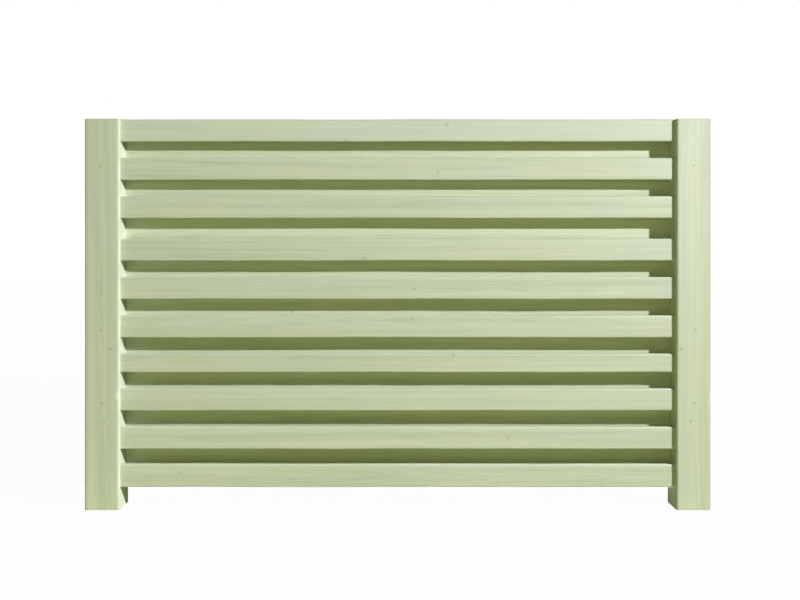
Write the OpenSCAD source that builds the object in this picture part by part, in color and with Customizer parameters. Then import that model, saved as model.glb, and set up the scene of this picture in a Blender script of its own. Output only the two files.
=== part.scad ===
// Double slatted fence panel: one bay between two posts.
// Front boards close half of the bay and rear boards stand behind the gaps,
// so that air passes between the two rows and nobody sees through.
// Every board is let into a shallow housing in the inner face of each post.
// The origin is the centre of the left post's foot. X runs along the panel,
// Y from the front to the back, and Z up.

/* [Overall] */
// Width over the two posts
overall_w = 1800; // [1200:10:2400]
// Height of the posts, from the foot to the top
overall_h = 1125; // [930:5:1400]

/* [Posts] */
// Side of the square post
post_side = 99; // [85:1:125]
// Radius of the long edges of a post
post_arris = 6; // [1:0.5:6]

/* [Boards] */
// Face height of a common front board
board_face = 63.5; // [50:0.5:75]
// Face height of the one board that was cut narrower
narrow_face = 53; // [45:1:60]
// Face height of the bottom front board
bottom_face = 66; // [50:1:80]
// Thickness of every board
board_thick = 16; // [12:0.5:22]
// Radius of the long edges of a board
board_arris = 3.5; // [1:0.5:5]

/* [Spacing] */
// Height of the bottom front board above the foot of the posts
foot_clear = 63; // [20:1:120]
// Extra height of the one gap that was set wider than the others
wide_gap_extra = 12; // [0:1:16]
// How much less the gap above the bottom board was left
tight_gap_less = 3; // [0:0.5:5]
// How far a rear board reaches behind the front boards above and below it
rear_lap = 13; // [8:1:20]
// Distance of the front boards behind the front of the posts
front_setback = 14; // [7:0.5:18]
// Distance of the rear boards before the back of the posts
rear_setback = 14; // [7:0.5:18]

/* [Joinery] */
// Depth of the housing that takes the end of a board
housing_depth = 10; // [5:1:20]
// Play between a board and its housing, on each side and at the end
housing_play = 0.3; // [0.1:0.1:0.8]

/* [Hidden] */
FRONT_COUNT = 10;
REAR_COUNT = FRONT_COUNT - 1;
NARROW_BOARD = 7;
WIDE_GAP = 3;
TIGHT_GAP = REAR_COUNT;
// How far a cut runs on past the face it opens
OVERCUT = 1;

$fn = 48;
POST_COLOUR = [0.78, 0.81, 0.68];
FRONT_COLOUR = [0.77, 0.81, 0.66];
REAR_COLOUR = [0.75, 0.79, 0.63];

right_post_x = overall_w - post_side;
inner_left_x = post_side / 2;
inner_right_x = right_post_x - post_side / 2;

// The board's end stops short of the floor of its housing by the play
board_end_x = inner_left_x - housing_depth + housing_play;
board_length = inner_right_x + housing_depth - housing_play - board_end_x;

front_mid_y = -post_side / 2 + front_setback + board_thick / 2;
rear_mid_y = post_side / 2 - rear_setback - board_thick / 2;

// Face height of front board n, counted from the top
function front_face(n) =
    n == NARROW_BOARD ? narrow_face : n == FRONT_COUNT ? bottom_face : board_face;

// Height taken by the first n front boards without their gaps
function faces_to(n) = n == 0 ? 0 : front_face(n) + faces_to(n - 1);

// The gaps share what the boards and the clear foot leave of the height
spare_h = overall_h - foot_clear - faces_to(FRONT_COUNT);
board_gap = (spare_h - wide_gap_extra + tight_gap_less) / REAR_COUNT;

// Height of the gap under front board n
function gap_under(n) =
    board_gap + (n == WIDE_GAP ? wide_gap_extra : n == TIGHT_GAP ? -tight_gap_less : 0);

// Upper edge of front board n: the top board is flush with the posts
function front_top_z(n) =
    n == 1 ? overall_h : front_top_z(n - 1) - front_face(n - 1) - gap_under(n - 1);

function front_mid_z(n) = front_top_z(n) - front_face(n) / 2;

// A rear board is centred behind the gap under front board n
rear_face = board_gap + 2 * rear_lap;
function rear_mid_z(n) = front_top_z(n) - front_face(n) - gap_under(n) / 2;

function two_digits(n) = str(n < 10 ? "0" : "", n);
function front_name(n) = str("front_board_", two_digits(n));
function rear_name(n) = str("rear_board_", two_digits(n));

// Rectangle with rounded corners, centred, with true arcs
module rounded_rect(w, h, r) {
    square([w - 2 * r, h], center = true);
    square([w, h - 2 * r], center = true);
    for (x = [-1, 1], y = [-1, 1])
        translate([x * (w / 2 - r), y * (h / 2 - r)]) circle(r);
}

// Section of a board (face upright), extruded along X from x = 0
module board_bar(face, length, grow = 0) {
    rotate([90, 0, 90])
        linear_extrude(length)
            rounded_rect(board_thick + 2 * grow, face + 2 * grow, board_arris + grow);
}

// Cuts for every board end in the inner face of the left post
module housings() {
    cut_x = inner_left_x - housing_depth;
    for (n = [1:FRONT_COUNT])
        translate([cut_x, front_mid_y, front_mid_z(n)])
            board_bar(front_face(n), housing_depth + OVERCUT, housing_play);
    for (n = [1:REAR_COUNT])
        translate([cut_x, rear_mid_y, rear_mid_z(n)])
            board_bar(rear_face, housing_depth + OVERCUT, housing_play);
    open_top_housing(cut_x);
}

// The top board is flush with the post, so its housing is open above
module open_top_housing(cut_x) {
    width = board_thick + 2 * housing_play;
    translate([cut_x, front_mid_y - width / 2, front_mid_z(1)])
        cube([housing_depth + OVERCUT, width, front_face(1)]);
}

module left_post() {
    color(POST_COLOUR)
        difference() {
            linear_extrude(overall_h) rounded_rect(post_side, post_side, post_arris);
            housings();
        }
}

// The right post is the left one mirrored about the middle of the bay
module right_post() {
    translate([right_post_x, 0, 0]) mirror([1, 0, 0]) left_post();
}

module front_board(n) {
    color(FRONT_COLOUR)
        translate([board_end_x, front_mid_y, front_mid_z(n)])
            board_bar(front_face(n), board_length);
}

module rear_board(n) {
    color(REAR_COLOUR)
        translate([board_end_x, rear_mid_y, rear_mid_z(n)])
            board_bar(rear_face, board_length);
}

left_post();
right_post();
for (n = [1:FRONT_COUNT])
    front_board(n);
for (n = [1:REAR_COUNT])
    rear_board(n);
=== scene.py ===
# %% [markdown]
# # A double slatted fence panel
#
# The real panel is a simple thing: two square posts, ten boards in front and nine behind them,
# all of planed softwood that a treatment has tinted a pale green. What makes it look real is
# what timber does: long edges that a planer has rounded, faces that are a hair off flat, and
# grain that runs through each piece and comes out at its ends. We load the measured model
# first, so that every new surface can take its place and size from it.

import bpy
import numpy as np
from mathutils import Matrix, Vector


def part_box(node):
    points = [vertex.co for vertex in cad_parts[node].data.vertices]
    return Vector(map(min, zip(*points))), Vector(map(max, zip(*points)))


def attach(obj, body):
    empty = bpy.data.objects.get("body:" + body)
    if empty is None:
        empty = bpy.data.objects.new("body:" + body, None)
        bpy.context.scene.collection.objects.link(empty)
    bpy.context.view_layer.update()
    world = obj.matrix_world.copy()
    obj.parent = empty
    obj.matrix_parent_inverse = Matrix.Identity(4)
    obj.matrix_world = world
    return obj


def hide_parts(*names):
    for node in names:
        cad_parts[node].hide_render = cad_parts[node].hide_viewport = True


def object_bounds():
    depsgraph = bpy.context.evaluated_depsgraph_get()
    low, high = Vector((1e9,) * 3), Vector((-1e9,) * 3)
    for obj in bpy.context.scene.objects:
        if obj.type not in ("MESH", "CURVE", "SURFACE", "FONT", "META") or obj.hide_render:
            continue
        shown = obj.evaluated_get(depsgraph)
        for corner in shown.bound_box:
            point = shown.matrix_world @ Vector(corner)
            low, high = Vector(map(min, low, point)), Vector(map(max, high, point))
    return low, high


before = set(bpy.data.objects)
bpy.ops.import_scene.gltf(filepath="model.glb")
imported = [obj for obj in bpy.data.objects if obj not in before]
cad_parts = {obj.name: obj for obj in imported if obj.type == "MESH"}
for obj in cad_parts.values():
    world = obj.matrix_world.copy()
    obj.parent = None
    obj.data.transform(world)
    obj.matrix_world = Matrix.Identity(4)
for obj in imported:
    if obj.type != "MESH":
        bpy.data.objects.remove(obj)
cad_low, cad_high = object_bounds()
print("measured model:", [round(size, 4) for size in cad_high - cad_low], "m")

# %% [markdown]
# ## Reading the pieces
#
# A piece's box says where it lies and how large it is. The names are sorted into posts, front
# boards and rear boards, so that each kind gets its own treatment. Only what a box can't say is
# written down here: the radii of the long edges, and how the board ends sit in the posts.

# %% Boxes and edges
post_names = ["left_post", "right_post"]
front_names = sorted(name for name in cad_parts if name.startswith("front_board"))
rear_names = sorted(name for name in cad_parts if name.startswith("rear_board"))

post_arris = 0.006
board_arris = 0.0035
housing_play = 0.0003


def box(name):
    """Lowest corner, highest corner of a piece in the measured model, as arrays in metres."""
    return tuple(np.array(corner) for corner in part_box(name))


# %% [markdown]
# ## A section with round corners
#
# Planed timber has a rectangular section whose corners, which a joiner calls arrises, are
# rounded so that they don't splinter. The outline is worked out as points: each corner is a
# quarter of a circle about its own centre, and even points fill the flats in between. It could
# be drawn as a curve and bevelled, but as plain arrays it can be bent and worn later on.

# %% The section
def rounded_section(width, height, radius, width_steps, height_steps, arc_steps=6):
    """Outline of a rectangle with round corners, anticlockwise, as rows of (across, up).

    A corner point is the corner's centre plus the radius times (cos t, sin t), with t running
    over a quarter turn. A flat point goes evenly from one arc's end to the next arc's start.
    """
    quarter = np.linspace(0, np.pi / 2, arc_steps + 1)
    signs = np.array([(1, 1), (-1, 1), (-1, -1), (1, -1)])
    centres = signs * (width / 2 - radius, height / 2 - radius)
    turns = quarter + np.arange(4)[:, None] * np.pi / 2
    arcs = centres[:, None, :] + radius * np.stack([np.cos(turns), np.sin(turns)], axis=2)
    outline = []
    flat_steps = [width_steps, height_steps, width_steps, height_steps]
    for arc, following, steps in zip(arcs, np.roll(arcs, -1, axis=0), flat_steps):
        share = np.arange(1, steps)[:, None] / steps
        outline += [arc, arc[-1] + (following[0] - arc[-1]) * share]
    return np.concatenate(outline)


print("a board's outline has", len(rounded_section(0.016, 0.0635, board_arris, 2, 8)), "points")

# %% [markdown]
# ## Carrying the section along the piece
#
# A board or a post is its section carried along a line. Near each end the section draws in over
# a quarter circle, which eases the sawn edge, and then it shrinks on the spot to a single point,
# the pole, so that the end is closed and has points of its own. Every point is kept as
# (along, across, up), so that one function serves level boards and upright posts.

# %% The swept surface
def stations(length, spacing, ease):
    """Where the section stands: distance along, how far it is drawn in, and its share of size.

    Over the ease, distance is ease (1 - cos t) and drawing in is ease (1 - sin t), for a quarter
    turn of t. The two ends mirror each other, and even stations fill the rest.
    """
    turn = np.linspace(0, np.pi / 2, 4)
    cap_share = np.array([0.0, 0.3, 0.6, 0.85])
    near = np.concatenate([np.zeros(len(cap_share)), ease * (1 - np.cos(turn))])
    drawn = np.concatenate([np.full(len(cap_share), ease), ease * (1 - np.sin(turn))])
    share = np.concatenate([cap_share, np.ones(len(turn))])
    count = int(round((length - 2 * ease) / spacing))
    middle = ease + (length - 2 * ease) * np.arange(1, count) / count
    along = np.concatenate([near, middle, length - near[::-1]])
    inset = np.concatenate([drawn, np.zeros(count - 1), drawn[::-1]])
    share = np.concatenate([share, np.ones(count - 1), share[::-1]])
    return along, inset, share


def swept(outline, along, inset, share):
    """The section at every station, as an array (station, point, (along, across, up)).

    A point's place in the section is its place in the outline, drawn towards the middle by the
    inset and then scaled by the share.
    """
    drawn = np.sign(outline) * np.maximum(np.abs(outline)[None] - inset[:, None, None], 0)
    drawn *= share[:, None, None]
    places = np.broadcast_to(along[:, None, None], drawn.shape[:2] + (1,))
    return np.concatenate([places, drawn], axis=2)


along, inset, share = stations(1.0, spacing=0.1, ease=0.002)
print(len(along), "stations on a metre, the first ones at", np.round(along[4:8] * 1000, 2), "mm")

# %% [markdown]
# ## What planing and drying do
#
# No board is a perfect prism. Drying makes a face a little hollow or full, which is called
# cupping, and lets the piece bow and twist by a fraction of a millimetre; handling bruises the
# arrises here and there. These departures are tiny, yet they are what makes two neighbouring
# boards catch the light differently. Displacing with a texture would do it too, but here each
# departure is a formula, so it can fade out where the posts hold the board.

# %% Small departures
def wander(along, rng, reach, longest):
    """A slow wave of a given reach: five sines of shorter and shorter length, added up."""
    lengths = longest / np.array([1.0, 1.7, 2.9, 5.1, 8.3])
    sizes = rng.normal(size=len(lengths)) * lengths / longest
    phases = rng.uniform(0, 2 * np.pi, len(lengths))
    waves = sizes * np.sin(2 * np.pi * along[..., None] / lengths + phases)
    return reach * waves.sum(axis=-1) / np.sqrt((sizes**2).sum())


def smooth(value):
    """0 below 0, 1 above 1, and 3 v v - 2 v v v between, which starts and ends level."""
    value = np.clip(value, 0, 1)
    return value * value * (3 - 2 * value)


def aged(rows, rng, arris, cup, bow, twist, bruises):
    """The swept points after drying and handling. All lengths are metres, the twist radians.

    Cupping moves a face by cup (1 - (up / half)^2), most at the middle of its height. Bow and
    twist follow slow waves. All three fade out towards the ends, which the posts hold. A bruise
    presses an arris towards the middle of the section by its depth times a bell curve of the
    distance from its centre.
    """
    along, across, up = rows[..., 0].copy(), rows[..., 1].copy(), rows[..., 2].copy()
    length, half_up, half_across = along.max(), up.max(), across.max()
    held = 0.02
    fade = 0.1
    free = smooth((along - held) / fade) * smooth((length - held - along) / fade)
    across += free * cup * (1 - (up / half_up) ** 2)
    across += free * wander(along, rng, bow, longest=1.4)
    up += free * wander(along, rng, bow, longest=1.1)
    angle = free * wander(along, rng, twist, longest=1.3)
    across, up = across - angle * up, up + angle * across
    clear_end = 0.06
    below_corner = 0.3 * arris
    spread = 1.2 * arris
    for _ in range(bruises):
        at = rng.uniform(clear_end, length - clear_end)
        side = rng.choice([-1.0, 1.0], size=2)
        width, depth = rng.uniform(0.004, 0.014), rng.uniform(0.0003, 0.0011)
        corner = side * (half_across - below_corner, half_up - below_corner)
        away = np.hypot(across - corner[0], up - corner[1])
        press = depth * np.exp(-(((along - at) / width) ** 2) - (away / spread) ** 2)
        across -= side[0] * press
        up -= side[1] * press
    return np.stack([along, across, up], axis=2)


trial = wander(np.linspace(0, 1.6, 50), np.random.default_rng(1), reach=0.0005, longest=1.4)
print("a trial bow stays within", round(1000 * np.abs(trial).max(), 2), "mm")

# %% [markdown]
# ## From rows of points to a mesh
#
# Quads join each row of points to the next, and the last point of a row joins its first. The
# first and the last row have shrunk to a pole, which a fan of triangles joins to its ring.
# Shading is smooth, except across edges sharper than 35 degrees.

# %% Grid to mesh
def closed_mesh(name, rows):
    """A mesh from rows of points (row, point, xyz) whose first and last rows are one point."""
    ring = rows.shape[1]
    points = np.concatenate([rows[0, :1], rows[1:-1].reshape(-1, 3), rows[-1, :1]])
    index = 1 + np.arange((len(rows) - 2) * ring).reshape(-1, ring)
    here, there = index[:-1], index[1:]
    quads = np.stack([here, np.roll(here, -1, 1), np.roll(there, -1, 1), there], axis=2)
    first, last = index[0], index[-1]
    start = np.stack([np.roll(first, -1), first, np.zeros(ring, int)], axis=1)
    finish = np.stack([last, np.roll(last, -1), np.full(ring, len(points) - 1)], axis=1)
    faces = quads.reshape(-1, 4).tolist() + start.tolist() + finish.tolist()
    mesh = bpy.data.meshes.new(name)
    mesh.from_pydata(points.tolist(), [], faces)
    return mesh


def finish_shading(mesh):
    """Smooth shading that stops at sharp edges."""
    sharp = np.radians(35)
    mesh.shade_smooth()
    mesh.set_sharp_from_angle(angle=sharp)


def mesh_points(mesh):
    """The vertices of a mesh as an array (vertex, xyz)."""
    points = np.empty(len(mesh.vertices) * 3)
    mesh.vertices.foreach_get("co", points)
    return points.reshape(-1, 3)


def show(mesh):
    """An object for the mesh, at the origin, in the scene."""
    piece = bpy.data.objects.new(mesh.name, mesh)
    bpy.context.scene.collection.objects.link(piece)
    return piece


trial = closed_mesh("trial", np.zeros((4, 3, 3)))
print("4 rows of 3 points make", len(trial.vertices), "vertices and", len(trial.polygons), "faces")
bpy.data.meshes.remove(trial)

# %% [markdown]
# ## Where a piece grew in its log
#
# Grain isn't a picture on a surface: it is the log's growth rings, cut open by the saw. So every
# point of a piece is given its place in the log that the piece came from: how far along the log,
# and how far from the pith, the log's centre, in two directions. The place is stored on the mesh
# as an attribute named log. The material then draws rings round the pith, and faces, edges and
# ends agree with each other by themselves. A slight tilt of the log makes the rings run out of a
# face in the long pointed loops of sawn timber. More attributes say where a board is paler, which
# is along its arrises, as painted light, and all over the top board; where a post is darkened by
# painted shade, which is along its arrises and between the two rows; and how far a face looks up,
# where it is made matt and darkened by dust and painted shade.

# %% Place in the log
LEVEL = [0, 1, 2]
UPRIGHT = [2, 0, 1]


def store_log(mesh, order, middle, pith, tilt, shift, hand=1):
    """Writes each vertex's place in the log.

    The place is (along + shift, across - pith across + tilt along, up - pith up + tilt along),
    all measured from the middle of the piece. order names which of x, y, z is along, across
    and up. A hand of -1 swaps left and right.
    """
    local = (mesh_points(mesh) - middle)[:, order] * (1, hand, 1)
    place = np.empty_like(local)
    place[:, 0] = local[:, 0] + shift
    place[:, 1:] = local[:, 1:] - pith + np.array(tilt) * local[:, :1]
    attribute = mesh.attributes.new("log", "FLOAT_VECTOR", "POINT")
    attribute.data.foreach_set("vector", place.astype(np.float32).ravel())


def store_value(mesh, label, values, domain="POINT"):
    """Writes one number per vertex, or per face, as an attribute."""
    attribute = mesh.attributes.new(label, "FLOAT", domain)
    attribute.data.foreach_set("value", values.astype(np.float32))


def on_arris(mesh, order, middle, half, arris):
    """1 for a vertex on an arris, and 0 away from it.

    A vertex has two depths, below the side plane and below the upper or lower plane, counted in
    arris widths. On an arris both are small, so the larger one decides: up to a quarter gives 1,
    and from one and a quarter on it gives 0.
    """
    local = np.abs((mesh_points(mesh) - middle)[:, order][:, 1:])
    depth = (np.array(half) - local) / arris
    return smooth(1.25 - depth.max(axis=1))


def store_upward(mesh):
    """Writes how far each face looks up: the height of its normal, from 0 to 1."""
    normals = np.empty(len(mesh.polygons) * 3)
    mesh.polygon_normals.foreach_get("vector", normals)
    store_value(mesh, "upward", normals.reshape(-1, 3)[:, 2].clip(0, 1), "FACE")


for name, order in (("level", LEVEL), ("upright", UPRIGHT)):
    print(name, "piece: along, across and up are", ", ".join("xyz"[axis] for axis in order))

# %% [markdown]
# ## The boards
#
# Each board takes its middle and its size from its measured box. A seed of its own, made from its
# place in the row, decides its bow, its bruises and its place in the log, so the row is varied
# but comes out the same every time. The boards are flat sawn: the pith lies some centimetres in
# front of or behind the face.

# %% Boards
# Painted light makes the boards' arrises paler; the top board is paler all over.
ARRIS_PAINTED_LIGHT = 0.5
TOP_BOARD_PALER = 0.35


def board(name, seed):
    """One board: its section carried along x, aged, and set in the middle of its box."""
    rng = np.random.default_rng(seed)
    low, high = box(name)
    length, thickness, face = high - low
    outline = rounded_section(thickness, face, board_arris, width_steps=2, height_steps=8)
    rows = swept(outline, *stations(length, spacing=0.009, ease=0.0004))
    rows = aged(rows, rng, board_arris, cup=rng.uniform(-0.0003, 0.0003), bow=0.0004,
                twist=0.004, bruises=rng.integers(2, 6))
    middle = (low + high) / 2
    mesh = closed_mesh(name + "_timber", rows + middle - (length / 2, 0, 0))
    finish_shading(mesh)
    pith = (rng.choice([-1, 1]) * rng.uniform(0.03, 0.075), rng.uniform(-0.025, 0.025))
    tilt = rng.normal(0, 0.008, 2)
    store_log(mesh, LEVEL, middle, pith, tilt, shift=rng.uniform(-40, 40))
    arris = on_arris(mesh, LEVEL, middle, (thickness / 2, face / 2), board_arris)
    all_over = TOP_BOARD_PALER if name == front_names[0] else 0.0
    # Painted light on the arrises, and the whole top board paler.
    store_value(mesh, "paler", (ARRIS_PAINTED_LIGHT * arris).clip(all_over))
    store_upward(mesh)
    return show(mesh)


boards = {name: board(name, 100 + count) for count, name in enumerate(front_names)}
boards.update({name: board(name, 200 + count) for count, name in enumerate(rear_names)})
faces = sum(len(piece.data.polygons) for piece in boards.values())
print(len(boards), "boards with", faces, "faces")

# %% [markdown]
# ## The posts and their housings
#
# A post is a square section carried upwards. The boards don't just touch it: each end is let
# into a shallow housing, a slot as deep as a finger is wide. A joiner would cut the slots with a
# router along the board's own outline, and we do the same: the cutter is the board's section,
# grown by the play, and a Boolean modifier takes it out of the post. The top board is flush with
# the post, so its cutter reaches on past the top and leaves an open slot.

# %% Cutters for the housings
def cutter_bars(inner_x, toward_post):
    """A bar for each board end at one post: the board's section, grown by the play.

    inner_x is the post's inner face, and toward_post is -1 for the left post and 1 for the
    right one. A bar starts outside the face and ends at the floor of its housing.
    """
    lead_in = 0.01
    past_top = 0.02
    bars = []
    for name in front_names + rear_names:
        low, high = box(name)
        end = low[0] if toward_post < 0 else high[0]
        floor = end + toward_post * housing_play
        start = inner_x - toward_post * lead_in
        raised = past_top if name == front_names[0] else 0.0
        thickness, face = (high - low)[1:] + 2 * housing_play
        outline = rounded_section(thickness, face + raised, board_arris + housing_play,
                                  width_steps=1, height_steps=1)
        rows = swept(outline, np.array([0, 0, 1, 1]) * abs(floor - start), np.zeros(4),
                     np.array([0, 1, 1, 0]))
        corner = (min(start, floor), (low[1] + high[1]) / 2, (low[2] + high[2] + raised) / 2)
        bars.append(closed_mesh("bar", rows + corner))
    return bars


def joined(name, meshes):
    """One mesh that holds all the meshes, which are removed."""
    points, faces, first = [], [], 0
    for mesh in meshes:
        points.append(mesh_points(mesh))
        faces += [[first + corner for corner in face.vertices] for face in mesh.polygons]
        first += len(mesh.vertices)
        bpy.data.meshes.remove(mesh)
    whole = bpy.data.meshes.new(name)
    whole.from_pydata(np.concatenate(points).tolist(), [], faces)
    return whole


def cut(piece, cutter):
    """Takes the cutter out of the piece, removes the cutter, and keeps the result as a mesh."""
    modifier = piece.modifiers.new("housings", "BOOLEAN")
    modifier.operation = "DIFFERENCE"
    modifier.solver = "EXACT"
    modifier.object = cutter
    whole = piece.evaluated_get(bpy.context.evaluated_depsgraph_get())
    mesh = bpy.data.meshes.new_from_object(whole)
    piece.modifiers.clear()
    uncut = piece.data
    piece.data = mesh
    mesh.name = piece.name
    bpy.data.meshes.remove(uncut)
    bpy.data.objects.remove(cutter)


trial = cutter_bars(box("left_post")[1][0], -1)
print(len(trial), "bars cut the left post")
for bar in trial:
    bpy.data.meshes.remove(bar)

# %% [markdown]
# ## The posts
#
# A post grows its own way in the log: its pith is close to its middle, as in timber sawn from a
# thin stem, so the rings show as circles on its top. Painted shade darkens it along the arrises
# and on the inner faces between the two rows, and the surface is made rougher there.

# %% Posts
# Painted shade on the posts' arrises, and on their inner faces between the two rows.
ARRIS_PAINTED_SHADE = 0.7
INNER_PAINTED_SHADE = 0.5


def post(name, seed, toward_post):
    """One post: its square section carried up z, aged a little, with its housings cut."""
    rng = np.random.default_rng(seed)
    low, high = box(name)
    width, depth, height = high - low
    outline = rounded_section(width, depth, post_arris, width_steps=14, height_steps=14)
    rows = swept(outline, *stations(height, spacing=0.007, ease=0.0015))
    rows = aged(rows, rng, post_arris, cup=0.0, bow=0.0002, twist=0.001, bruises=5)
    middle = (low + high) / 2
    upright = rows[..., [1, 2, 0]] + (middle[0], middle[1], low[2])
    piece = show(closed_mesh(name + "_timber", upright))
    inner_x = high[0] if toward_post < 0 else low[0]
    cut(piece, show(joined("cutter", cutter_bars(inner_x, toward_post))))
    finish_shading(piece.data)
    pith = rng.uniform((-0.002, -0.012), (0.002, 0.012))
    tilt = rng.normal(0, 0.004, 2)
    store_log(piece.data, UPRIGHT, middle, pith, tilt, shift=0.0, hand=toward_post)
    arris = on_arris(piece.data, UPRIGHT, middle, (width / 2, depth / 2), post_arris)
    inner_skin = 0.003
    inner = smooth(1 - np.abs(mesh_points(piece.data)[:, 0] - inner_x) / inner_skin)
    # The painted shade mask, which also makes these places rougher.
    store_value(piece.data, "painted_shade_and_matt", np.maximum(ARRIS_PAINTED_SHADE * arris, INNER_PAINTED_SHADE * inner))
    store_upward(piece.data)
    return piece


posts = {"left_post": post("left_post", 301, -1), "right_post": post("right_post", 302, 1)}
print("the left post has", len(posts["left_post"].data.polygons), "faces after cutting")

# %% [markdown]
# ## Small helpers for shader nodes
#
# A material is a graph, and its sums read best as formulas. Each helper adds one node, feeds it
# with numbers or with other nodes' sockets, and hands back the socket to use next.

# %% Node helpers
def add(tree, kind, **settings):
    """Adds a node and sets its properties."""
    node = tree.nodes.new(kind)
    for key, value in settings.items():
        setattr(node, key, value)
    return node


def feed(tree, socket, value):
    """Links a socket to the input, or writes a plain value into it."""
    if isinstance(value, bpy.types.NodeSocket):
        tree.links.new(value, socket)
    else:
        socket.default_value = value


def sums(tree, operation, *values, clamp=False):
    """One Math node: the operation on the values, kept within 0 and 1 if clamped."""
    node = add(tree, "ShaderNodeMath", operation=operation, use_clamp=clamp)
    for socket, value in zip(node.inputs, values):
        feed(tree, socket, value)
    return node.outputs[0]


def length_of(tree, first, second):
    """The root of the sum of two squares."""
    squares = [sums(tree, "MULTIPLY", part, part) for part in (first, second)]
    return sums(tree, "SQRT", sums(tree, "ADD", *squares))


def stretched(tree, vector, factors):
    """The vector with each of its three parts multiplied by a factor of its own."""
    node = add(tree, "ShaderNodeVectorMath", operation="MULTIPLY")
    feed(tree, node.inputs[0], vector)
    feed(tree, node.inputs[1], factors)
    return node.outputs["Vector"]


def step(tree, value, low, high, below=0.0, above=1.0):
    """Goes smoothly from below to above while the value goes from low to high."""
    node = add(tree, "ShaderNodeMapRange", interpolation_type="SMOOTHSTEP")
    for socket, number in zip(node.inputs, (value, low, high, below, above)):
        feed(tree, socket, number)
    return node.outputs[0]


def noise(tree, place, stretch, detail=2.0, roughness=0.5):
    """Noise whose pattern is drawn out: stretch holds its turns for each metre."""
    node = add(tree, "ShaderNodeTexNoise", noise_dimensions="3D")
    feed(tree, node.inputs["Vector"], stretched(tree, place, stretch))
    feed(tree, node.inputs["Scale"], 1.0)
    feed(tree, node.inputs["Detail"], detail)
    feed(tree, node.inputs["Roughness"], roughness)
    return node.outputs["Fac"]


def mixed(tree, share, first, second):
    """The first colour, with a share of the second one laid over it."""
    node = add(tree, "ShaderNodeMix", data_type="RGBA")
    feed(tree, node.inputs["Factor"], share)
    feed(tree, node.inputs["A"], first)
    feed(tree, node.inputs["B"], second)
    return node.outputs["Result"]


def new_group(name, inputs, outputs):
    """An empty shader group with named sockets, each given as (name, kind)."""
    group = bpy.data.node_groups.new(name, "ShaderNodeTree")
    for label, kind in inputs:
        group.interface.new_socket(label, in_out="INPUT", socket_type="NodeSocket" + kind)
    for label, kind in outputs:
        group.interface.new_socket(label, in_out="OUTPUT", socket_type="NodeSocket" + kind)
    return group, add(group, "NodeGroupInput"), add(group, "NodeGroupOutput")


trial = bpy.data.node_groups.new("trial", "ShaderNodeTree")
half = sums(trial, "MULTIPLY", 0.5, 1.0)
print("half of one comes from a node of kind", half.node.bl_idname)
bpy.data.node_groups.remove(trial)

# %% [markdown]
# ## Branches
#
# A knot is the foot of a branch: a narrow cone that starts at the pith and widens outwards, so it
# shows as a small dark spot wherever a face crosses it. The group measures how far a point is from
# one such cone, counted in cone widths, so 1 is the knot's rim.

# %% Distance from a branch
def branch_distance():
    """Group: place in the log and one branch in; distance from it, in knot widths, out.

    At the pith the cone is 0.4 knot sizes wide, and it widens by 9 sizes for each metre outwards.
    Noise makes its rim ragged.
    """
    tree, given, result = new_group(
        "branch_distance",
        [("Log", "Vector"), ("Along", "Float"), ("Aim across", "Float"), ("Aim up", "Float"),
         ("Size", "Float")],
        [("Distance", "Float")],
    )
    split = add(tree, "ShaderNodeSeparateXYZ")
    feed(tree, split.inputs[0], given.outputs["Log"])
    along, across, up = split.outputs
    aim_across, aim_up = given.outputs["Aim across"], given.outputs["Aim up"]
    outward = sums(tree, "ADD", sums(tree, "MULTIPLY", across, aim_across),
                   sums(tree, "MULTIPLY", up, aim_up))
    beside = sums(tree, "SUBTRACT", sums(tree, "MULTIPLY", across, aim_up),
                  sums(tree, "MULTIPLY", up, aim_across))
    before = sums(tree, "SUBTRACT", along, given.outputs["Along"])
    away = length_of(tree, beside, before)
    ragged = sums(tree, "MULTIPLY", noise(tree, given.outputs["Log"], (160, 160, 160)), 0.4)
    away = sums(tree, "MULTIPLY", away, sums(tree, "ADD", ragged, 0.8))
    widening = sums(tree, "ADD", sums(tree, "MULTIPLY", outward, 9.0), 0.4)
    width = sums(tree, "MULTIPLY", sums(tree, "MAXIMUM", widening, 0.01), given.outputs["Size"])
    feed(tree, result.inputs["Distance"], sums(tree, "DIVIDE", away, width))
    return tree


branch_group = branch_distance()


def branch_from(tree, place, along, aim, size):
    """The distance from one branch, which starts along the pith and aims at (across, up)."""
    branch = add(tree, "ShaderNodeGroup", node_tree=branch_group)
    feed(tree, branch.inputs["Log"], place)
    feed(tree, branch.inputs["Along"], along)
    feed(tree, branch.inputs["Aim across"], aim[0])
    feed(tree, branch.inputs["Aim up"], aim[1])
    feed(tree, branch.inputs["Size"], size)
    return branch.outputs["Distance"]


print("branch group:", len(branch_group.nodes), "nodes")

# %% [markdown]
# ## Rings and fibres
#
# Softwood lays down one ring a year: a broad pale band in spring and a thin dark line in late
# summer. The group measures the distance from the pith, bends it with slow noise, makes it swerve
# round the branches, and turns it into repeating rings. Voronoi cells wrapped round the pith
# choose where small branches may grow, and about two cells in five do get one. A material may
# name more branches. Fine noise drawn out along the log gives fibres and streaks, and slow noise
# gives the broad bands of a sawn face.

# %% Figure of the timber
FIGURE_PARTS = ("Rings", "Streaks", "Fibres", "Knots", "Bands", "Mottling")
NO_BRANCH = 100.0
CELLS_PER_METRE = 0.7


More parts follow.
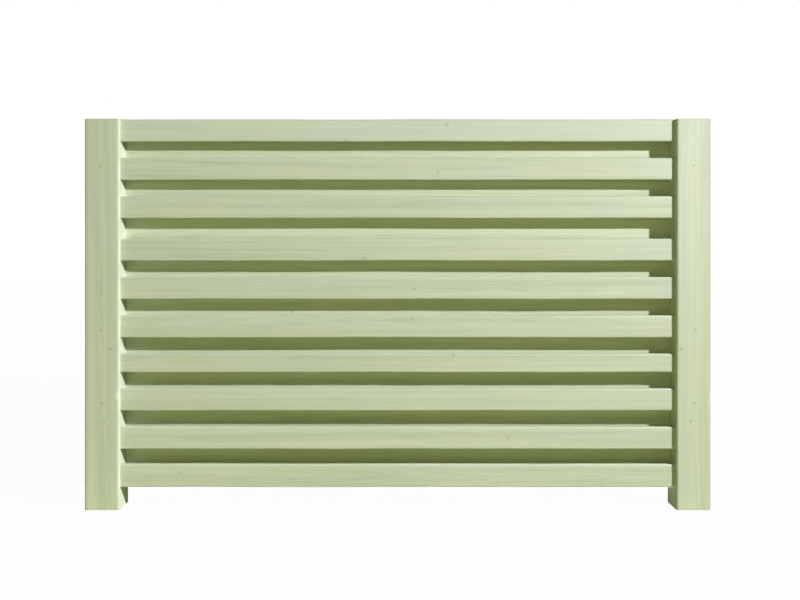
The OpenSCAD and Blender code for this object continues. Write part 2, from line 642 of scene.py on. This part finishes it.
def timber_figure():
    """Group: place in the log in; rings, streaks, fibres, knots, bands, mottling out, 0 to 1."""
    tree, given, result = new_group(
        "timber_figure",
        [("Log", "Vector"), ("Ring width", "Float"), ("Knot size", "Float"), ("Branch", "Float")],
        [(label, "Float") for label in FIGURE_PARTS],
    )
    place = given.outputs["Log"]
    split = add(tree, "ShaderNodeSeparateXYZ")
    feed(tree, split.inputs[0], place)
    along, across, up = split.outputs
    radius = length_of(tree, across, up)

    # Branches: at most one for each Voronoi cell on a cylinder round the pith
    safe = sums(tree, "MAXIMUM", radius, 0.002)
    wrapped = add(tree, "ShaderNodeCombineXYZ")
    feed(tree, wrapped.inputs[0], sums(tree, "MULTIPLY", along, CELLS_PER_METRE))
    feed(tree, wrapped.inputs[1], sums(tree, "DIVIDE", across, safe))
    feed(tree, wrapped.inputs[2], sums(tree, "DIVIDE", up, safe))
    cells = add(tree, "ShaderNodeTexVoronoi", voronoi_dimensions="3D", feature="F1")
    feed(tree, cells.inputs["Vector"], wrapped.outputs[0])
    feed(tree, cells.inputs["Scale"], 1.0)
    cell = add(tree, "ShaderNodeSeparateXYZ")
    feed(tree, cell.inputs[0], cells.outputs["Position"])
    cell_along, cell_across, cell_up = cell.outputs
    reach = length_of(tree, cell_across, cell_up)
    aim = (sums(tree, "DIVIDE", cell_across, reach), sums(tree, "DIVIDE", cell_up, reach))
    distance = branch_from(tree, place, sums(tree, "DIVIDE", cell_along, CELLS_PER_METRE), aim,
                           given.outputs["Knot size"])
    chance = add(tree, "ShaderNodeSeparateColor")
    feed(tree, chance.inputs[0], cells.outputs["Color"])
    bare = sums(tree, "LESS_THAN", chance.outputs[0], 0.6)
    present = sums(tree, "ADD", distance, sums(tree, "MULTIPLY", bare, NO_BRANCH))
    nearest = sums(tree, "MINIMUM", present, given.outputs["Branch"])
    knots = step(tree, nearest, 0.75, 1.1, below=1.0, above=0.0)

    # Rings: distance from the pith, bent by up to 16 mm of slow noise and 3 mm of quick noise,
    # and by 6 mm beside a branch
    slow = sums(tree, "MULTIPLY", noise(tree, place, (1.3, 16, 16)), 0.016)
    quick = sums(tree, "MULTIPLY", noise(tree, place, (7, 90, 90)), 0.003)
    swerve = step(tree, nearest, 0.5, 4.0, below=0.006, above=0.0)
    bent = sums(tree, "ADD", sums(tree, "ADD", radius, slow), sums(tree, "ADD", quick, swerve))
    year = sums(tree, "FRACT", sums(tree, "DIVIDE", bent, given.outputs["Ring width"]))
    rise = step(tree, year, 0.3, 0.9)
    fall = step(tree, year, 0.92, 1.0, below=1.0, above=0.0)
    rings = sums(tree, "MULTIPLY", rise, fall)

    # Drawn-out noise, from the finest to the slowest
    fibres = noise(tree, place, (22, 1500, 1500))
    streaks = noise(tree, place, (3, 170, 170), detail=4.0, roughness=0.6)
    bands = noise(tree, place, (0.5, 45, 45), detail=1.0)
    mottling = noise(tree, place, (2.2, 12, 12), detail=3.0)

    for label, value in zip(FIGURE_PARTS, (rings, streaks, fibres, knots, bands, mottling)):
        feed(tree, result.inputs[label], value)
    return tree


figure_group = timber_figure()
print("figure group:", len(figure_group.nodes), "nodes")

# %% [markdown]
# ## The treated timber
#
# Pressure treatment soaks the outer wood with a green salt, and sun and rain fade it to a pale
# grey green. Latewood and knots stay darker. Painted light makes the boards' arrises paler, and the
# top board is paler all over; painted shade darkens the posts' arrises and inner faces; and what
# looks up is made matt and darkened by dust and painted shade. A piece without one of these
# attributes reads it as 0. One function makes the finish for posts, front boards and rear boards,
# with their own tints and ring widths, so they read as one delivery of timber; the rear boards'
# colours are paler, as painted light for the shade they stand in behind the front row. The
# surface is planed, so it is even but not shiny: the bump holds raised latewood and fine fibres,
# each less than a tenth of a millimetre high.

# %% Timber material
YELLOWED = (0.60, 0.61, 0.36, 1)
# The colour of the painted light on the boards' arrises, and of the paler top board.
PALER_COLOUR = (0.62, 0.67, 0.58, 1)
KNOT_WOOD = (0.22, 0.24, 0.11, 1)
# The colour of the painted shade on the posts.
PAINTED_SHADE_COLOUR = (0.33, 0.37, 0.27, 1)
# Dust, and painted shade that tones down the light on faces that look up.
DUST_AND_SHADE_COLOUR = (0.36, 0.38, 0.27, 1)
BUMP_HEIGHT = 0.00018


def timber(name, pale, deep, ring_width, knot_size, branches):
    """A material for treated softwood. pale and deep are the spring and late summer colours.

    branches lists the named branches as (along, aim across, aim up).
    """
    material = bpy.data.materials.new(name)
    material.use_nodes = True
    tree = material.node_tree
    tree.nodes.clear()
    place = add(tree, "ShaderNodeAttribute", attribute_name="log").outputs["Vector"]
    painted_shade_and_matt = add(tree, "ShaderNodeAttribute", attribute_name="painted_shade_and_matt").outputs["Fac"]
    paler = add(tree, "ShaderNodeAttribute", attribute_name="paler").outputs["Fac"]
    upward = add(tree, "ShaderNodeAttribute", attribute_name="upward").outputs["Fac"]
    nearest = NO_BRANCH
    for along, *aim in branches:
        nearest = sums(tree, "MINIMUM", nearest, branch_from(tree, place, along, aim, knot_size))
    figure = add(tree, "ShaderNodeGroup", node_tree=figure_group)
    feed(tree, figure.inputs["Log"], place)
    feed(tree, figure.inputs["Ring width"], ring_width)
    feed(tree, figure.inputs["Knot size"], knot_size)
    feed(tree, figure.inputs["Branch"], nearest)
    rings, streaks, fibres, knots, bands, mottling = figure.outputs

    dark = sums(tree, "MULTIPLY", rings, 0.28)
    dark = sums(tree, "ADD", dark, step(tree, streaks, 0.35, 0.7, above=0.24))
    dark = sums(tree, "ADD", dark, step(tree, fibres, 0.3, 0.75, below=-0.06, above=0.1))
    dark = sums(tree, "ADD", dark, step(tree, bands, 0.3, 0.7, below=-0.1, above=0.5), clamp=True)
    colour = mixed(tree, dark, (*pale, 1), (*deep, 1))
    tinted = mixed(tree, step(tree, mottling, 0.35, 0.7, above=0.25), colour, YELLOWED)
    # Painted light: the boards' arrises paler, and all of the top board paler.
    paled = mixed(tree, paler, tinted, PALER_COLOUR)
    knotty = mixed(tree, sums(tree, "MULTIPLY", knots, 0.36), paled, KNOT_WOOD)
    # Painted shade darkens the posts' arrises and inner faces.
    with_painted_shade = mixed(tree, painted_shade_and_matt, knotty, PAINTED_SHADE_COLOUR)
    # Faces that look up are matt, and darkened by dust and by painted shade.
    dulled = step(tree, upward, 0.8, 0.98)
    dusted_and_shaded = mixed(tree, sums(tree, "MULTIPLY", dulled, 0.3), with_painted_shade, DUST_AND_SHADE_COLOUR)

    height = sums(tree, "MULTIPLY", rings, 0.35)
    for part, share in ((fibres, 0.35), (streaks, 0.5), (knots, 0.6)):
        height = sums(tree, "ADD", height, sums(tree, "MULTIPLY", part, share))
    bump = add(tree, "ShaderNodeBump")
    feed(tree, bump.inputs["Strength"], 1.0)
    feed(tree, bump.inputs["Distance"], BUMP_HEIGHT)
    feed(tree, bump.inputs["Height"], height)

    shader = add(tree, "ShaderNodeBsdfPrincipled")
    feed(tree, shader.inputs["Base Color"], dusted_and_shaded)
    satin = step(tree, streaks, 0.3, 0.7, below=0.62, above=0.70)
    rough = sums(tree, "ADD", satin, sums(tree, "MULTIPLY", painted_shade_and_matt, 0.5), clamp=True)
    feed(tree, shader.inputs["Roughness"], sums(tree, "MAXIMUM", rough, dulled))
    feed(tree, shader.inputs["Specular IOR Level"], 0.5)
    feed(tree, shader.inputs["Normal"], bump.outputs[0])
    output = add(tree, "ShaderNodeOutputMaterial")
    tree.links.new(shader.outputs[0], output.inputs[0])
    print(name, "has", len(tree.nodes), "nodes")
    return material


pale_green = (0.518, 0.584, 0.446)
deep_green = (0.395, 0.462, 0.307)
# Painted light: the rear row is paler than the front row, to make up for its shade behind it.
pale_rear_lightened = (0.592, 0.663, 0.484)
deep_rear_lightened = (0.451, 0.522, 0.329)
post_branches = [(0.428, -0.02, -1.0), (-0.045, 0.04, -1.0), (-0.255, 0.0, -1.0),
                 (0.31, 1.0, 0.2), (-0.33, -1.0, -0.1), (0.12, 0.1, 1.0)]
post_timber = timber("treated_post", pale_green, deep_green, 0.0045, 0.006, post_branches)
front_timber = timber("treated_front_board", pale_green, deep_green, 0.004, 0.005, [])
rear_timber_lightened = timber("treated_rear_board_lightened", pale_rear_lightened, deep_rear_lightened, 0.004, 0.005, [])

# %% [markdown]
# ## Standing for the measured pieces
#
# Each new surface rides on the panel's one body and stands for the measured piece of its name,
# which is then hidden.

# %% Hand over
def hand_over(piece, node, material):
    """Gives the piece its finish and puts it in the measured piece's place."""
    piece.data.materials.clear()
    piece.data.materials.append(material)
    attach(piece, "root")
    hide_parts(node)


for name in post_names:
    hand_over(posts[name], name, post_timber)
for name in front_names:
    hand_over(boards[name], name, front_timber)
for name in rear_names:
    hand_over(boards[name], name, rear_timber_lightened)
print("shown pieces:", len(posts) + len(boards))

# %% [markdown]
# ## Camera
#
# The view is square on and level, from about two metres eighty, with the eye at chest height.
# Tilting the camera down would make the posts lean, so it stays level and its lens is shifted
# instead, as on a view camera, until the panel stands in the middle of the picture.

# %% Camera
middle = (cad_low + cad_high) / 2
right_of_middle = 0.0196
before_front = 2.826
above_middle = 0.155
camera_data = bpy.data.cameras.new("camera")
camera_data.sensor_width = 36
camera_data.lens = 44.27
camera_data.shift_x = -0.0056
camera_data.shift_y = -0.0494
camera = bpy.data.objects.new("camera", camera_data)
camera.location.x = middle.x + right_of_middle
camera.location.y = cad_low.y - before_front
camera.location.z = middle.z + above_middle
camera.rotation_euler = (np.pi / 2, 0, 0)
bpy.context.scene.collection.objects.link(camera)
bpy.context.scene.camera = camera
print("the eye is", round(camera.location.z, 3), "m above the foot of the panel")

# %% [markdown]
# ## Light
#
# A small bright lamp stands to the right, in front and a little higher than the panel, so each
# board throws a crisp shadow on the row behind. A real lamp so near would leave the far post
# dark. The studio's lamp is far away, so here the strength grows with distance: the Light Falloff
# node holds it constant, and the light path's ray length lifts it further. A second lamp in the
# same place gives only the sheen, which whitens the near end. It stops just below the top of the
# panel, because seen from behind it would turn the tops of the posts plain white.
#
# Four soft suns light chosen pieces only. One lights the back of the posts and of the rear row,
# and is kept off the front row, whose backs stay in shade. One lights the left post from the far
# side. The other two stand for light that has bounced off green timber: one reaches the rear row
# through the gaps, and one the inner face of the right post, which the lamp can't see. The world
# shows white to the camera and in reflections, but the light it sheds is green too, for the same
# reason. Multiple importance sampling is off on the point lamps: with light linking it leaves
# blotches.

# %% Lamps
POWER = 1000.0
LAMP_RADIUS = 0.05
NO_CEILING = 100.0
LAMP_PLACE = (cad_high.x + 1.316, cad_low.y - 1.487, cad_high.z + 0.551)


def below(tree, distance, ceiling):
    """1 for a lit point below the ceiling, and 0 for one at it or above.

    In a lamp's nodes a ray starts at Position and runs along Incoming, to the point it lights.
    """
    fade_start = ceiling - 0.0015
    fade_end = ceiling - 0.0007
    ray = add(tree, "ShaderNodeNewGeometry")
    start = add(tree, "ShaderNodeSeparateXYZ")
    feed(tree, start.inputs[0], ray.outputs["Position"])
    heading = add(tree, "ShaderNodeSeparateXYZ")
    feed(tree, heading.inputs[0], ray.outputs["Incoming"])
    climb = sums(tree, "MULTIPLY", heading.outputs["Z"], distance)
    height = sums(tree, "ADD", start.outputs["Z"], climb)
    return step(tree, height, fade_start, fade_end, below=1.0, above=0.0)


def studio_lamp(name, strength, offset, ceiling):
    """A point lamp that gives strength x (offset + ray length) to all that is below the ceiling."""
    data = bpy.data.lights.new(name, "POINT")
    data.shadow_soft_size = LAMP_RADIUS
    data.energy = POWER
    data.cycles.use_multiple_importance_sampling = False
    data.use_nodes = True
    tree = data.node_tree
    falloff = add(tree, "ShaderNodeLightFalloff")
    feed(tree, falloff.inputs["Strength"], strength / POWER)
    distance = add(tree, "ShaderNodeLightPath").outputs["Ray Length"]
    growth = sums(tree, "MULTIPLY", sums(tree, "ADD", distance, offset),
                  below(tree, distance, ceiling))
    emission = next(node for node in tree.nodes if node.type == "EMISSION")
    feed(tree, emission.inputs["Strength"],
         sums(tree, "MULTIPLY", falloff.outputs["Constant"], growth))
    lamp = bpy.data.objects.new(name, data)
    lamp.location = LAMP_PLACE
    bpy.context.scene.collection.objects.link(lamp)
    return lamp


key = studio_lamp("key", strength=10.1, offset=1.2, ceiling=NO_CEILING)
sheen = studio_lamp("sheen", strength=125.0, offset=0.0, ceiling=cad_high.z)
sheen.visible_diffuse = False


def linked_sun(name, strength, colour, heading, spread, receivers):
    """A soft sun that shines along heading and lights only the receivers."""
    data = bpy.data.lights.new(name, "SUN")
    data.energy = strength
    data.color = colour
    data.angle = np.radians(spread)
    lamp = bpy.data.objects.new(name, data)
    lamp.rotation_euler = Vector(heading).to_track_quat("-Z", "Y").to_euler()
    bpy.context.scene.collection.objects.link(lamp)
    lit = bpy.data.collections.new("lit_by_" + name)
    for receiver in receivers:
        lit.objects.link(receiver)
    lamp.light_linking.receiver_collection = lit
    return lamp


rear_row = [boards[name] for name in rear_names]
back = linked_sun("back", 3.0, (1, 1, 1), (0.15, -1.0, -0.4), 12, [*posts.values(), *rear_row])
side = linked_sun("side", 2.2, (1, 1, 1), (1.0, -0.1, -0.3), 12, [posts["left_post"]])
bounce = linked_sun("bounce", 0.42, (0.95, 1.0, 0.45), (0.5, 1.0, 0.0), 20, rear_row)
corner = linked_sun("corner", 0.35, (0.95, 1.0, 0.5), (1.0, 0.15, 0.0), 4, [posts["right_post"]])
print("key and sheen stand at", np.round(key.location, 2))

# %% [markdown]
# ## World
#
# The world has two backgrounds. Camera rays and reflections meet plain white, and all other rays
# meet the faint green of the bounced light.

# %% World
world = bpy.data.worlds.new("studio")
bpy.context.scene.world = world
world.use_nodes = True
tree = world.node_tree
tree.nodes.clear()
rays = add(tree, "ShaderNodeLightPath")
mirrored = sums(tree, "MAXIMUM", rays.outputs["Is Glossy Ray"],
                rays.outputs["Is Transmission Ray"])
seen = sums(tree, "MAXIMUM", rays.outputs["Is Camera Ray"], mirrored)
fill = add(tree, "ShaderNodeBackground")
feed(tree, fill.inputs["Color"], (0.9, 1.0, 0.15, 1))
feed(tree, fill.inputs["Strength"], 0.06)
white = add(tree, "ShaderNodeBackground")
feed(tree, white.inputs["Color"], (1, 1, 1, 1))
feed(tree, white.inputs["Strength"], 1.0)
choice = add(tree, "ShaderNodeMixShader")
tree.links.new(seen, choice.inputs[0])
tree.links.new(fill.outputs[0], choice.inputs[1])
tree.links.new(white.outputs[0], choice.inputs[2])
tree.links.new(choice.outputs[0], add(tree, "ShaderNodeOutputWorld").inputs[0])
print("world fill:", round(fill.inputs["Strength"].default_value, 3), "beside a white of 1")

# %% [markdown]
# ## Floor
#
# A wide pale floor stands for the studio's paper. Seen by the camera it is mostly plain white,
# with a part of its shaded look left in, so that the panel keeps its shadow.

# %% Floor
floor_mesh = bpy.data.meshes.new("floor")
reach = 30.0
corners = [(-reach, -reach, 0), (reach, -reach, 0), (reach, reach, 0), (-reach, reach, 0)]
floor_mesh.from_pydata(corners, [], [(0, 1, 2, 3)])
floor = show(floor_mesh)
floor.location.z = cad_low.z
paper = bpy.data.materials.new("paper")
paper.use_nodes = True
tree = paper.node_tree
tree.nodes.clear()
matt = add(tree, "ShaderNodeBsdfDiffuse")
feed(tree, matt.inputs["Color"], (0.80, 0.82, 0.45, 1))
glow = add(tree, "ShaderNodeEmission")
feed(tree, glow.inputs["Strength"], 1.0)
both = add(tree, "ShaderNodeMixShader")
rays = add(tree, "ShaderNodeLightPath")
feed(tree, both.inputs[0], sums(tree, "MULTIPLY", rays.outputs["Is Camera Ray"], 0.97))
tree.links.new(matt.outputs[0], both.inputs[1])
tree.links.new(glow.outputs[0], both.inputs[2])
tree.links.new(both.outputs[0], add(tree, "ShaderNodeOutputMaterial").inputs[0])
floor_mesh.materials.append(paper)
print("floor:", 2 * reach, "m wide, at height", round(floor.location.z, 4), "m")

# %% [markdown]
# ## Colour
#
# The Standard view shows colours as they are written.

# %% Finish
bpy.context.scene.view_settings.view_transform = "Standard"
